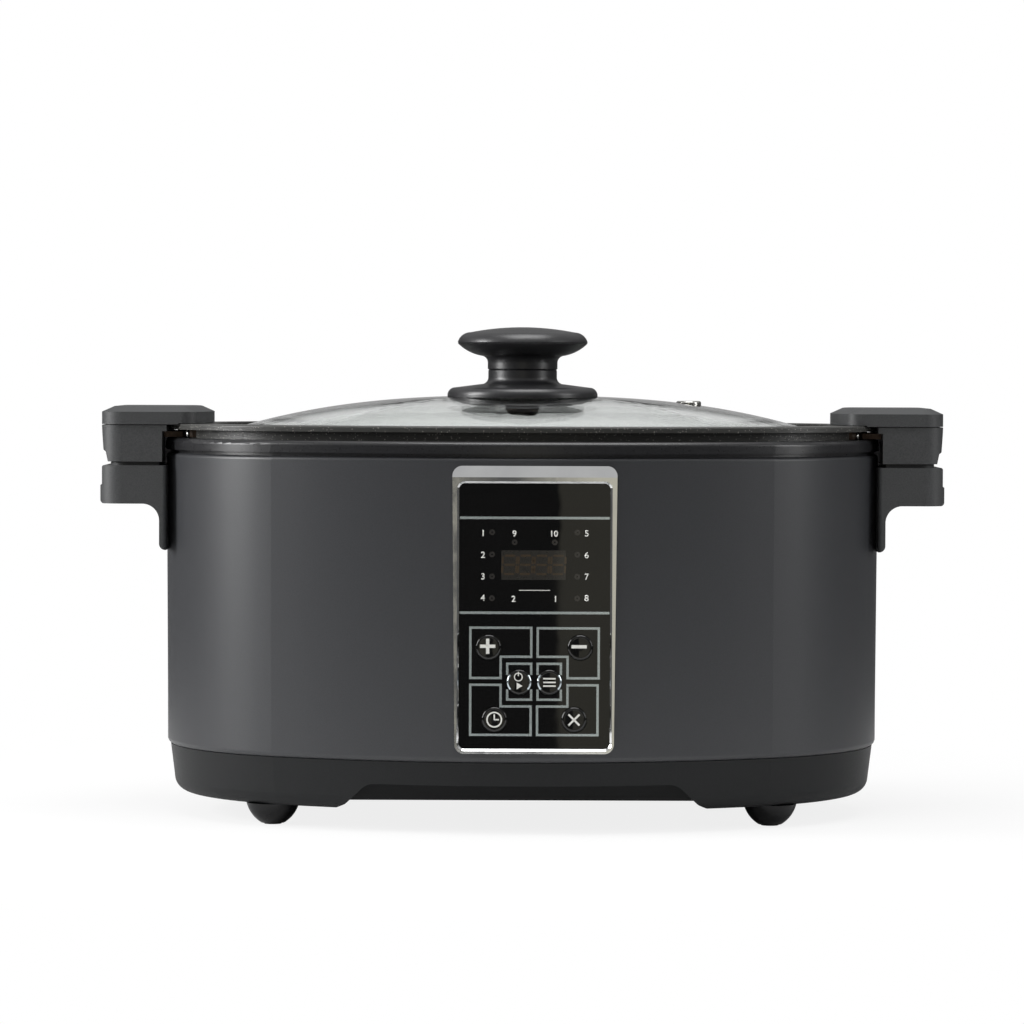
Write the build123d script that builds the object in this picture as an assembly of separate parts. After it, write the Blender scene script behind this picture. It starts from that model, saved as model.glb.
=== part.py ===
from build123d import *
import os
from math import hypot, sqrt

# Electric slow cooker with a lift-out pot, a glass lid and a six-key control panel.
# Frame: origin on the table under the middle of the cooker, +X to its right-hand side as the
# user faces it, +Y to the back, +Z up. Millimetres.

# ---------------------------------------------------------------- driving dimensions
# Each plan is an oval of four tangent arcs: half width, half depth, end radius.
HOUSING = (193.5, 137.0, 118.0)
POT = (186.0, 115.0, 98.0)
LID = (167.0, 96.0, 79.0)
HOT_PLATE = (120.0, 72.0, 62.0)
SHIELD = (160.0, 98.0, 84.0)

# Heights
FLOOR_Z = 11.4          # underside of the plinth
ARCH_Z = 25.2           # top of the arch in the plinth
SEAM_Z = 37.3           # plinth meets shell
SHELL_TOP = 195.0
RING_STEP = 196.8       # top of the shadow groove under the trim ring
RING_TOP = 203.0
RIM_LOW = 207.6
RIM_TOP = 210.6
LEDGE_Z = 202.1         # ledge inside the pot that carries the lid
SKIRT_LOW = 201.5       # foot of the skirt that hangs from the rim
GLASS_EDGE_Z = 206.2
GLASS_CROWN_Z = 226.2
KNOB_BASE_Z = 225.2
KNOB_GROOVE_Z = 240.4
KNOB_SEAM_Z = 254.8
KNOB_TOP = 263.3
WELL_FLOOR = 46.0
PLATE_LOW = 51.0
PLATE_TOP = 58.0        # the pot stands here

# Walls
SHELL_T = 1.0
PLINTH_T = 2.5
WELL_T = 0.8
POT_T = 3.0
GLASS_T = 3.5
SHELL_DRAFT = 0.9       # the shell is this much smaller, each way, at its foot
SHELL_FOOT_R = 2.9
PLINTH_IN = (5.6, 2.4)  # how far the plinth stands inside the shell, at its foot and at its head
PLINTH_FOOT_R = 8.0
ARCH_WALL_Y = 104.0     # wall at the back of the arch
ARCH_RISE_Y = 65.0      # where the floor starts to rise towards that wall
ARCH_WALL_Z = 15.2      # foot of that wall

# Running clearance between bodies that move past each other
GAP = 0.3

# Feet
FOOT_X, FOOT_Y = 131.4, 77.6
FOOT_R = 14.0
FOOT_FLAT_R = 6.2
PAD_R = 4.6
PAD_T = 2.5
FEET = [(x, y) for x in (-FOOT_X, FOOT_X) for y in (-FOOT_Y, FOOT_Y)]

# Steam vent in the glass
VENT_X = 90.5

# Handles
HANDLE_OUT = 226.1      # outer face of the pot handles
HANDLE_HALF = 44.0      # half length along Y
GRIP_TOP = 188.3        # top of the side handle
GRIP_LOW = 167.8
BLOCK_LOW = 190.3       # underside of the pot handle
BLOCK_TOP = 209.9
CAP_LOW = 210.3
CAP_EDGE = 217.0        # where the cap's slope begins
CAP_TOP = 220.0
HANDLE_INNER = 190.8    # flat inner face of the side handle, clear of the shell's curve
PLATE_OUT = 194.5       # outer face of the plate below the side handle
CAP_INNER = 168.0       # furthest reach of the cap over the pot
RIVET_Y = (-40.0, 40.0)
RIVET_Z = 205.2
RIVET_R = 1.1
STRAP_T = 1.6
BRACKET_LOW = 203.5
BRACKET_HIGH = 206.4

# Control panel: a flat fascia in a frame that stands proud of the curved shell
PANEL_X = 6.2
BEZEL_FRONT = 141.2     # distance of each face in front of the middle of the cooker
FASCIA_FRONT = 140.2
FASCIA_BACK = 138.0
CARRIER_BACK = 136.0
BOARD_FRONT = 130.6
BOARD_T = 1.6
BEZEL_Z = (41.6, 191.8)
BEZEL_HALF = (42.2, 43.6)    # half width at its foot and at its top
BEZEL_R = 6.2
FASCIA_HALF = 38.9
FASCIA_Z = (45.2, 182.0)
FASCIA_R = 3.1
KEY_R = 6.5
KEY_FLANGE_R = 7.2
KEY_TRAVEL = 0.8
SWITCH_TOP = BOARD_FRONT + 3.6
KEYS = {
    "key_plus": (-23.6, 97.6),
    "key_minus": (23.6, 97.6),
    "key_start": (-7.8, 79.7),
    "key_menu": (7.8, 79.7),
    "key_delay": (-20.5, 60.4),
    "key_cancel": (20.5, 60.4),
}
LIGHTS = [(side * 21.9, z) for side in (-1, 1) for z in (156.8, 145.4, 134.1, 122.9)]
LIGHTS += [(-10.3, 151.7), (10.3, 151.7)]
LIGHT_R = 1.5
CARRIER_HALF = 40.6
CARRIER_Z = (43.6, 184.0)
BOARD_HALF = 36.2
BOARD_Z = (48.2, 179.2)
BOARD_HOLES = [(x, z) for x in (-33, 33) for z in (51.5, 112.0, 175.5)]
DISPLAY_HALF = 16.6
DISPLAY_Z = (132.4, 147.6)

# Mains inlet at the back
INLET_Z = 66.0
INLET_HALF = (13.6, 10.2)
INLET_BACK = 139.6
INLET_DEPTH = 20.0
PIN_AT = [(-7.0, INLET_Z - 2.5), (7.0, INLET_Z - 2.5), (0.0, INLET_Z + 2.5)]

# Power board in the plinth
POWER_X = (-86.0, -24.0)
POWER_Y = (40.0, 90.0)
POWER_Z = 24.0
PILLARS = [(x, y) for x in (-82, -28) for y in (44, 86)]

# Sprung temperature sensor under the middle of the pot
SENSOR_CAP_R = 12.5
SENSOR_STEM_R = 5.0
SENSOR_TOP = PLATE_TOP - 0.1

# Fasteners
SCREW_R = 1.6
BASE_SCREWS = [(x, y) for x in (-113, 113) for y in (-93, 93)] + [(-175, 0), (175, 0)]
# Side handle screws: place along Y, height, and how far the tip reaches from the middle
SIDE_SCREWS = [(y, z, 202.8) for y in (-14, 14) for z in (172.5, 182.0)]
POSTS = [(x, y) for x in (-92, 92) for y in (-44, 44)]
SPACERS = [(x, y) for x in (-70, 70) for y in (-30, 30)]


# ---------------------------------------------------------------- shapes used more than once
def oval(plan, grow=0.0, z=0.0):
    """Face of an oval plan, grown outwards by so much, at height z."""
    half_w, half_d, end_r = (size + grow for size in plan)
    long_r = (half_w**2 + half_d**2 - 2 * half_w * end_r) / (2 * (half_d - end_r))
    reach, rise = half_w - end_r, long_r - half_d
    span = hypot(reach, rise)
    x, y = reach + end_r * reach / span, end_r * rise / span
    edges = [
        ThreePointArc((-x, -y), (0, -half_d), (x, -y)),
        ThreePointArc((x, -y), (half_w, 0), (x, y)),
        ThreePointArc((x, y), (0, half_d), (-x, y)),
        ThreePointArc((-x, y), (-half_w, 0), (-x, -y)),
    ]
    return Pos(0, 0, z) * make_face(edges)


def oval_block(plan, low, high, grow=0.0, grow_high=None):
    """Solid on an oval plan between two heights, with a straight draft if grow_high is given."""
    if grow_high is None:
        return extrude(oval(plan, grow, low), high - low, dir=(0, 0, 1))
    return loft([oval(plan, grow, low), oval(plan, grow_high, high)], ruled=True)


def box(x, y, z):
    """Box between three pairs of limits."""
    size = [high - low for low, high in (x, y, z)]
    middle = [(low + high) / 2 for low, high in (x, y, z)]
    return Pos(*middle) * Box(*size)


def post(x, y, low, high, radius):
    """Upright cylinder."""
    return Pos(x, y, (low + high) / 2) * Cylinder(radius, high - low)


def bar(axis, at, low, high, radius):
    """Cylinder along X or Y through a point of the other two coordinates."""
    length, middle = high - low, (low + high) / 2
    if axis == "X":
        return Pos(middle, *at) * Rot(0, 90, 0) * Cylinder(radius, length)
    return Pos(at[0], middle, at[1]) * Rot(90, 0, 0) * Cylinder(radius, length)


def turned(edges):
    """Solid of revolution about Z from edges drawn as (radius, height)."""
    return revolve(Plane.XZ * make_face(edges), Axis.Z)


def crown(radius, low, top):
    """Arc of a shallow dome, from its rim to its middle, drawn as (radius, height)."""
    curve = (radius**2 + (top - low) ** 2) / (2 * (top - low))
    middle = radius / 2
    return ThreePointArc((radius, low), (middle, top - curve + sqrt(curve**2 - middle**2)), (0, top))


def front_plate(outline, front, back):
    """Plate parallel to the front, from an outline drawn as (x, z), between two distances."""
    return extrude(Plane.XZ.offset(back) * outline, front - back)


def rounded(half_w, z_range, radius):
    """Upright rounded rectangle, centred on the panel."""
    low, high = z_range
    return Pos(PANEL_X, (low + high) / 2) * RectangleRounded(2 * half_w, high - low, radius)


def edges_at(shape, z):
    """Edges that lie flat at one height."""
    return [e for e in shape.edges() if abs(e.bounding_box().max.Z - z) < 1e-3
            and abs(e.bounding_box().min.Z - z) < 1e-3]


def other_side(shape):
    """The same piece for the other end of the cooker."""
    return mirror(shape, about=Plane.YZ)


def group(shapes):
    """Separate identical solids that share one node."""
    return Compound(children=[s.solid() for s in shapes])


# ---------------------------------------------------------------- housing
def shell_outside(grow=0.0):
    """Outside of the painted shell, drafted, without rounded edges."""
    return oval_block(HOUSING, SEAM_Z, SHELL_TOP, grow - SHELL_DRAFT, grow)


def outer_shell():
    """Deep-drawn steel wall with a turned-in flange at its head and at its foot."""
    wall = shell_outside()
    wall = fillet(edges_at(wall, SHELL_TOP), 2.0)
    wall = fillet(edges_at(wall, SEAM_Z), SHELL_FOOT_R)
    low, high = SEAM_Z + SHELL_T, SHELL_TOP - SHELL_T
    inside = oval_block(HOUSING, low, high, -SHELL_DRAFT - SHELL_T, -SHELL_T)
    wall -= fillet(edges_at(inside, low), SHELL_FOOT_R - SHELL_T)
    wall -= oval_block(HOUSING, SHELL_TOP - 5, SHELL_TOP + 1, -4.0)
    wall -= oval_block(HOUSING, SEAM_Z - 1, SEAM_Z + 5, -22.0)
    cut_half = FASCIA_HALF + 0.6
    wall -= box((PANEL_X - cut_half, PANEL_X + cut_half), (-160, -100), (FASCIA_Z[0] - 0.7, 182.9))
    half_x, half_z = INLET_HALF
    wall -= box((-half_x, half_x), (100, 160), (INLET_Z - half_z, INLET_Z + half_z))
    for side in (-1, 1):
        for y, z, tip in SIDE_SCREWS:
            wall -= bar("X", (y, z), side * 191 - 9, side * 191 + 9, 2.0)
    for x, y in BASE_SCREWS:
        wall -= post(x, y, SEAM_Z - 1, SEAM_Z + 2, SCREW_R)
    return wall


def top_trim_ring():
    """Ring over the head of the shell; a groove under it throws a shadow line."""
    ring = oval_block(HOUSING, RING_STEP, RING_TOP, 0.5)
    ring = fillet(edges_at(ring, RING_TOP), 2.4)
    ring += oval_block(HOUSING, SHELL_TOP, RING_STEP, -2.0)
    ring -= oval_block(HOUSING, SHELL_TOP - 1, SHELL_TOP + WELL_T, -3.2)
    ring -= oval_block(POT, SHELL_TOP - 2, RING_TOP + 1, 2.0)
    return ring


def arch(grow):
    """Cutter for the arch through the plinth, drawn from the front."""
    low, high = FLOOR_Z - 4, ARCH_Z + grow
    flare, foot, shoulder = 105 + grow, 92 + grow, 80.5 + grow
    outline = make_face(Polyline((-flare, low), (-foot, FLOOR_Z + 2.5), (-shoulder, high), (shoulder, high),
                                 (foot, FLOOR_Z + 2.5), (flare, low), close=True))
    heads = outline.vertices().sort_by(Axis.Y)[-2:]
    outline = fillet(heads, 10.0)
    feet = [v for v in outline.vertices() if abs(v.Y - FLOOR_Z - 2.5) < 0.01]
    return fillet(feet, 5.0)


def arch_recess(side, grow):
    """Cutter for the recess behind an arch: to its back wall, and under the floor that rises to it."""
    far = HOUSING[1] + 10
    wall = ARCH_WALL_Y - grow
    slope = (ARCH_WALL_Z - FLOOR_Z) / (ARCH_WALL_Y - ARCH_RISE_Y)
    start = ARCH_RISE_Y - 20
    flat = [(start, FLOOR_Z + grow - 20 * slope), (wall, ARCH_WALL_Z + grow),
            (wall, FLOOR_Z - 4), (start, FLOOR_Z - 4)]
    ramp = make_face(Polyline([(side * y, z) for y, z in flat], close=True))
    ramp = extrude(Plane.YZ * ramp, 120, both=True)
    tunnel = extrude(Plane.XZ.offset(-side * start) * arch(grow), -side * far)
    front = extrude(Plane.XZ.offset(-side * wall) * arch(grow), -side * (far - wall))
    return front + (tunnel & ramp)


def base_plinth():
    """Moulded plinth: drafted wall with a rounded foot, an arch front and back, and a floor."""
    foot_in, head_in = PLINTH_IN
    body = oval_block(HOUSING, FLOOR_Z, SEAM_Z, -foot_in, -head_in)
    body = fillet(edges_at(body, FLOOR_Z), PLINTH_FOOT_R)
    outside = body
    inner_low = FLOOR_Z + PLINTH_T
    inside = oval_block(HOUSING, inner_low, SEAM_Z + 1, -foot_in - PLINTH_T, -head_in - PLINTH_T)
    inside = fillet(edges_at(inside, inner_low), PLINTH_FOOT_R - PLINTH_T)
    for side in (-1, 1):
        body -= arch_recess(side, 0)
        inside -= arch_recess(side, PLINTH_T)
    body -= inside
    for x, y in BASE_SCREWS:
        body += post(x, y, FLOOR_Z, SEAM_Z, 4.2) & outside
        body -= post(x, y, FLOOR_Z - 1, SEAM_Z + 1, SCREW_R)
        body -= post(x, y, FLOOR_Z - 1, FLOOR_Z + 3, 3.0)
    for x, y in FEET:
        body += post(x, y, FLOOR_Z, FLOOR_Z + 7, FOOT_R) & outside
        body -= post(x, y, FLOOR_Z - 1, FLOOR_Z + 8, SCREW_R)
    for row in range(-3, 4):
        for side in (-1, 1):
            slot = extrude(Pos(side * 60, row * 11) * SlotOverall(46, 3.2), 10)
            body -= Pos(0, 0, FLOOR_Z - 5) * slot
    return body


def foot(x, y):
    """Rounded cone with a recess for its rubber pad and a countersunk screw."""
    sole = 0.6
    shape = turned([
        Line((0, sole), (FOOT_FLAT_R, sole)),
        ThreePointArc((FOOT_FLAT_R, sole), (11.3, 5.4), (FOOT_R, FLOOR_Z)),
        Line((FOOT_R, FLOOR_Z), (0, FLOOR_Z)),
        Line((0, FLOOR_Z), (0, sole)),
    ])
    shape -= post(0, 0, sole - 1, PAD_T, PAD_R)
    shape -= post(0, 0, PAD_T - 1, PAD_T + 3, 3.4)
    shape -= post(0, 0, 0, FLOOR_Z + 1, SCREW_R)
    return Pos(x, y, 0) * shape


def screw(x, y, head_low, head_r, head_t, tip, shaft_r=SCREW_R):
    """Upright screw, head down."""
    head = post(x, y, head_low, head_low + head_t, head_r)
    slot = 0.7 * head_r
    head -= box((x - 0.5, x + 0.5), (y - slot, y + slot), (head_low - 1, head_low + 0.7))
    return head + post(x, y, head_low + head_t / 2, tip, shaft_r)


# ---------------------------------------------------------------- side handles on the shell
def handle_plan(out, half, radius, inner=150.0):
    """Plan of a handle at the left-hand end, with rounded outer corners."""
    face = Pos(-(out + inner) / 2, 0) * Rectangle(out - inner, 2 * half)
    corners = face.vertices().sort_by(Axis.X)[:2]
    return fillet(corners, radius)


def side_handle_left():
    """Handle block with a finger recess below, a plate under it, and a pad that meets the pot's handle."""
    out = HANDLE_OUT + 0.9
    profile = make_face(Polyline(
        (-HANDLE_INNER, GRIP_TOP), (-(out - 1.3), GRIP_TOP), (-(out - 1.3), 178.2), (-out, 177.4),
        (-out, GRIP_LOW), (-PLATE_OUT, GRIP_LOW), (-PLATE_OUT, 143.0), (-HANDLE_INNER, 143.0),
        close=True))
    for x, z, radius in ((PLATE_OUT, GRIP_LOW, 9.0), (PLATE_OUT, 143.0, 3.4), (out, GRIP_LOW, 2.5),
                         (out - 1.3, GRIP_TOP, 1.2)):
        corner = [v for v in profile.vertices() if hypot(v.X + x, v.Y - z) < 0.01]
        profile = fillet(corner, radius)
    shape = extrude(Plane.XZ * profile, HANDLE_HALF, both=True)
    shape &= extrude(handle_plan(out, HANDLE_HALF, 12.0), 300)
    inner_edges = [e for e in shape.edges().filter_by(Axis.Z) if abs(e.center().X + HANDLE_INNER) < 0.01]
    shape = fillet(inner_edges, 2.0)
    pad = extrude(handle_plan(out - 5.5, HANDLE_HALF - 4, 9.0, HANDLE_INNER + 4), BLOCK_LOW - GAP - 180)
    shape += Pos(0, 0, 180) * pad
    recess = box((-(out - 4.5), -204), (-33, 33), (GRIP_LOW - 1, GRIP_LOW + 6.5))
    shape -= fillet(recess.edges().filter_by(Axis.Z), 5.0)
    shape -= shell_outside()
    for y, z, tip in SIDE_SCREWS:
        shape -= bar("X", (y, z), -tip, -180, SCREW_R)
    return shape


def side_screw(side, y, z, tip):
    """Screw from inside the shell out into the handle block."""
    head = bar("X", (y, z), side * 190 - 3, side * 190 + 3, 3.2) & shell_outside(-SHELL_T)
    low, high = sorted((side * 188.5, side * tip))
    return head + bar("X", (y, z), low, high, SCREW_R)


# ---------------------------------------------------------------- pot
def cooking_pot():
    """Cast pot: a broad rim with a skirt, a recess for the lid, a drafted wall and a rounded floor."""
    recess_grow, floor_shrink = 1.5, 12.0
    neck_low = LEDGE_Z - POT_T
    wall = -2.0                                  # outside of the wall just under the ledge
    body = oval_block(LID, neck_low, RIM_TOP, recess_grow + POT_T)
    body += oval_block(LID, neck_low - 5, neck_low, wall, recess_grow + POT_T)
    lower = oval_block(LID, PLATE_TOP, neck_low - 5, wall - floor_shrink, wall)
    body += fillet(edges_at(lower, PLATE_TOP), 12.0)
    body += oval_block(POT, SKIRT_LOW, RIM_TOP) - oval_block(POT, SKIRT_LOW - 1, RIM_LOW, -POT_T)
    flange = oval_block(POT, RIM_LOW, RIM_TOP, 7.0)
    body += fillet(edges_at(flange, RIM_TOP), 0.9)
    body -= oval_block(LID, LEDGE_Z, RIM_TOP + 1, recess_grow)
    inner = oval_block(LID, PLATE_TOP + 3.5, LEDGE_Z, wall - floor_shrink - POT_T, wall - POT_T)
    body -= fillet(edges_at(inner, PLATE_TOP + 3.5), 10.0)
    for side in (-1, 1):
        for y in RIVET_Y:
            body -= rivet_place(side, y) * post(0, 0, -6, 4, RIVET_R)
    return body


def rivet_place(side, y):
    """Where a rivet goes through the skirt: on its face, pointing straight out."""
    away = (side * sqrt(POT[2] ** 2 - y**2) / POT[2], y / POT[2], 0)
    wall = (side * (POT[0] - POT[2]) + POT[2] * away[0], y, RIVET_Z)
    return Plane(origin=wall, z_dir=away).location


def pot_bracket_left():
    """Steel strap on the pot wall with a plate that runs out into the handle."""
    strap = oval_block(POT, BRACKET_LOW, RIM_LOW - 0.3, STRAP_T) & box((-200, -150), (-46, 46), (190, 220))
    plate = box((-214, -170), (-30, 30), (BRACKET_LOW, BRACKET_HIGH))
    shape = strap + plate
    shape -= oval_block(POT, 190, 220)
    for y in RIVET_Y:
        shape -= rivet_place(-1, y) * post(0, 0, -4, 4, RIVET_R)
    for y in (-20, 20):
        shape -= post(-205, y, 200, 210, 2.0)
    return shape


def pot_handle_left():
    """Moulded block round the bracket, with a grip recess under its outer edge."""
    out = HANDLE_OUT
    profile = make_face(Polyline(
        (-185, BLOCK_TOP), (-out, BLOCK_TOP), (-(out - 1.2), 196.6), (-(out - 2.6), 195.6),
        (-(out - 3.8), BLOCK_LOW), (-193, BLOCK_LOW), (-193, 206.6), (-185, 206.6), close=True))
    shape = extrude(Plane.XZ * profile, HANDLE_HALF - 1, both=True)
    shape &= extrude(handle_plan(out, HANDLE_HALF - 1, 11.0), 300)
    inner = box((-190.6, -150), (-60, 60), (180, 230))
    shape -= inner + oval_block(HOUSING, 180, 206.6, 1.6) + oval_block(POT, 206, 220, 7.3)
    shape -= box((-214.2, -150), (-30.2, 30.2), (BRACKET_LOW, BRACKET_HIGH))
    for y in (-20, 20):
        shape -= post(-205, y, BLOCK_LOW - 1, BLOCK_TOP + 1, 2.0)
        shape -= post(-205, y, BLOCK_LOW - 1, BLOCK_LOW + 3.2, 4.2)
    return shape


def pot_handle_cap_left():
    """Cap over the handle; its inner end bulges over the pot's rim."""
    corner = 176.0
    half = HANDLE_HALF
    plan = make_face([
        Line((-HANDLE_OUT, -half), (-corner, -half)),
        ThreePointArc((-corner, -half), (-CAP_INNER, 0), (-corner, half)),
        Line((-corner, half), (-HANDLE_OUT, half)),
        Line((-HANDLE_OUT, half), (-HANDLE_OUT, -half)),
    ])
    plan = fillet(plan.vertices().sort_by(Axis.X)[:2], 12.0)
    plan = fillet(plan.vertices().sort_by(Axis.X)[-2:], 9.5)
    shape = extrude(Pos(0, 0, CAP_LOW) * plan, CAP_EDGE - CAP_LOW)
    shape += extrude(Pos(0, 0, CAP_EDGE) * plan, CAP_TOP - CAP_EDGE, taper=66)
    shape = fillet(edges_at(shape, CAP_TOP), 1.0)
    shape -= oval_block(POT, 200, RIM_TOP + GAP, 7.8)
    for y in (-20, 20):
        shape -= post(-205, y, CAP_LOW - 1, CAP_LOW + 7, 2.0)
    return shape


def pot_handle_screw(x, y):
    """Screw from below through block and bracket into the cap."""
    return screw(x, y, BLOCK_LOW + 0.4, 3.8, 2.8, CAP_LOW + 6, 2.0)


def pot_rivet(side, y):
    """Rivet through strap and skirt: a rounded head outside, a flat tail inside."""
    head = fillet(edges_at(post(0, 0, STRAP_T + 0.03, STRAP_T + 1.6, 2.0), STRAP_T + 1.6), 1.0)
    shaft = post(0, 0, -POT_T - 0.5, STRAP_T + 0.6, RIVET_R)
    tail = post(0, 0, -POT_T - 1.2, -POT_T - 0.03, 1.9)
    return rivet_place(side, y) * (head + shaft + tail)


# ---------------------------------------------------------------- lid
def glass_height(share):
    """Height of the top of the glass at a share of the way from its middle to its edge."""
    dome = GLASS_CROWN_Z - 15.3 * (LID[0] * share / 146.6) ** 2.62
    return max(dome, GLASS_EDGE_Z + 0.2 * (1 - share) / 0.035)


def glass_dome(drop, shares):
    """Solid under the glass's curved face, lowered by so much."""
    faces = [oval([size * share for size in LID], 0, glass_height(share) - drop) for share in shares]
    return loft(faces)


def lid_glass():
    """Pressed dome with a flat edge, and holes for the knob's screw and the vent."""
    shares = (0.965, 0.93, 0.84, 0.72, 0.58, 0.42, 0.25, 0.07)
    low = GLASS_EDGE_Z - GLASS_T
    glass = oval_block(LID, low, GLASS_EDGE_Z + 0.2) + glass_dome(0, shares)
    glass -= glass_dome(GLASS_T, (0.95,) + shares[1:])
    glass -= post(0, 0, 200, 240, 3.0)
    glass -= post(VENT_X, 0, 200, 240, 4.2)
    return glass


def lid_rim_band():
    """Rolled steel band that clasps the edge of the glass."""
    low = LEDGE_Z
    band = oval_block(LID, low, GLASS_EDGE_Z + 0.8, 0.6)
    band -= oval_block(LID, low + 0.6, GLASS_EDGE_Z + 0.2)
    band -= oval_block(LID, low - 1, GLASS_EDGE_Z + 2, -3.2)
    return band


def steam_vent():
    """Metal eyelet clenched through the glass."""
    top = glass_height(VENT_X / LID[0])
    ring = post(VENT_X, 0, top - GLASS_T - 1.2, top + 1.6, 4.2)
    brim = post(VENT_X, 0, top - 1.2, top + 1.6, 6.8)
    brim = fillet(edges_at(brim, top + 1.6), 1.2)
    under = post(VENT_X, 0, top - GLASS_T - 1.2, top - GLASS_T + 1.0, 5.8)
    shape = ring + brim + under - lid_glass()
    return shape - post(VENT_X, 0, 200, 240, 1.9)


def knob_base():
    """Foot of the knob: a broad flange that sits on the glass, and the lower neck."""
    low, high = KNOB_BASE_Z, KNOB_GROOVE_Z - 0.2
    shape = turned([
        Line((2.7, low), (40.9, low)),
        Line((40.9, low), (40.9, low + 1.4)),
        ThreePointArc((40.9, low + 1.4), (39.7, low + 4.0), (36.6, low + 5.3)),
        Line((36.6, low + 5.3), (22.6, low + 7.1)),
        ThreePointArc((22.6, low + 7.1), (19.7, low + 8.3), (18.7, low + 10.6)),
        Line((18.7, low + 10.6), (18.7, high - 0.5)),
        Line((18.7, high - 0.5), (18.2, high)),
        Line((18.2, high), (2.7, high)),
        Line((2.7, high), (2.7, low)),
    ])
    return shape - lid_glass()


def knob_grip():
    """Upper neck and the flared underside of the knob."""
    low, high = KNOB_GROOVE_Z - 0.2, KNOB_SEAM_Z
    return turned([
        Line((2.7, low), (18.5, low)),
        Line((18.5, low), (19.0, low + 0.5)),
        Line((19.0, low + 0.5), (19.0, low + 3.8)),
        ThreePointArc((19.0, low + 3.8), (19.9, low + 6.2), (22.2, low + 7.5)),
        ThreePointArc((22.2, low + 7.5), (30.0, low + 10.2), (35.4, high - 0.3)),
        Line((35.4, high - 0.3), (35.1, high)),
        Line((35.1, high), (2.7, high)),
        Line((2.7, high), (2.7, low)),
    ])


def knob_cap():
    """Domed top of the knob."""
    low = KNOB_SEAM_Z
    return turned([
        Line((0, low), (35.1, low)),
        Line((35.1, low), (35.4, low + 0.3)),
        ThreePointArc((35.4, low + 0.3), (33.6, low + 3.5), (28.5, low + 5.7)),
        crown(28.5, low + 5.7, KNOB_TOP),
        Line((0, KNOB_TOP), (0, low)),
    ])


def knob_washer():
    """Dished washer under the glass."""
    low = GLASS_CROWN_Z - GLASS_T - 1.0
    return post(0, 0, low, low + 1.2, 9.2) - post(0, 0, 200, 240, 2.7) - lid_glass()


def knob_screw():
    """Domed screw from inside the lid up into the knob."""
    low = GLASS_CROWN_Z - GLASS_T - 1.0
    head = post(0, 0, low - 3.2, low, 8.7)
    head = fillet(edges_at(head, low - 3.2), 2.9)
    return head + post(0, 0, low - 0.5, KNOB_SEAM_Z - 3, 2.7)


# ---------------------------------------------------------------- control panel
def bezel_outline(shrink):
    """Outline of the frame: a little wider at its top, with rounded corners."""
    low, high = BEZEL_Z[0] + shrink, BEZEL_Z[1] - shrink
    half_low, half_high = BEZEL_HALF[0] - shrink, BEZEL_HALF[1] - shrink
    face = make_face(Polyline(
        (PANEL_X - half_low, low), (PANEL_X + half_low, low),
        (PANEL_X + half_high, high), (PANEL_X - half_high, high), close=True))
    return fillet(face.vertices(), BEZEL_R - shrink)


def panel_bezel():
    """Chrome frame: drafted outside, a sloping head, and a pocket for the carrier behind."""
    back, front = 126.0, BEZEL_FRONT
    frame = loft([Plane.XZ.offset(back) * bezel_outline(0), Plane.XZ.offset(front) * bezel_outline(1.2)],
                 ruled=True)
    slope = make_face(Polyline((-BEZEL_FRONT - 1, 183.2), (-BEZEL_FRONT - 1, 200), (-133.2, 200),
                               close=True))
    frame -= extrude(Plane.YZ * slope, 100, both=True)
    frame -= front_plate(rounded(FASCIA_HALF, FASCIA_Z, FASCIA_R), front + 1, back - 1)
    wide = 1.2
    wide_z = (FASCIA_Z[0] - wide, FASCIA_Z[1] + wide)
    slant = loft([Plane.XZ.offset(front - 1.0) * rounded(FASCIA_HALF, FASCIA_Z, FASCIA_R),
                  Plane.XZ.offset(front + 0.2) * rounded(FASCIA_HALF + wide, wide_z, FASCIA_R + wide)],
                 ruled=True)
    frame -= slant
    frame -= front_plate(rounded(CARRIER_HALF, CARRIER_Z, 4.0), FASCIA_BACK, back - 1)
    return frame - shell_outside()


def panel_fascia():
    """Gloss black front with a round hole for each key."""
    plate = front_plate(rounded(FASCIA_HALF, FASCIA_Z, FASCIA_R), FASCIA_FRONT, FASCIA_BACK)
    for x, z in KEYS.values():
        plate -= bar("Y", (PANEL_X + x, z), -150, -120, KEY_R + GAP)
    return plate


def panel_carrier():
    """Tray through the shell's cut-out: holds the fascia in front and the board behind."""
    flange = front_plate(rounded(CARRIER_HALF, CARRIER_Z, 4.0), FASCIA_BACK, 126.0) - shell_outside()
    half = FASCIA_HALF + 0.3
    z_range = (FASCIA_Z[0] - 0.3, FASCIA_Z[1] + 0.4)
    tray = front_plate(rounded(half, z_range, 2.0), FASCIA_BACK, 128.0)
    shape = flange + tray
    pocket_z = (z_range[0] + 2.2, z_range[1] - 2.2)
    shape -= front_plate(rounded(half - 2.2, pocket_z, 1.0), CARRIER_BACK, 120.0)
    for x, z in BOARD_HOLES:
        shape += bar("Y", (PANEL_X + x, z), -CARRIER_BACK - 0.5, -BOARD_FRONT, 2.6)
        shape -= bar("Y", (PANEL_X + x, z), -135.0, -BOARD_FRONT + 1, 1.1)
    for x, z in KEYS.values():
        shape -= bar("Y", (PANEL_X + x, z), -150, -130, KEY_R + GAP)
    for x, z in LIGHTS:
        shape -= bar("Y", (PANEL_X + x, z), -150, -130, LIGHT_R)
    shape -= box((PANEL_X - DISPLAY_HALF, PANEL_X + DISPLAY_HALF), (-150, -130), DISPLAY_Z)
    return shape


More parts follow.
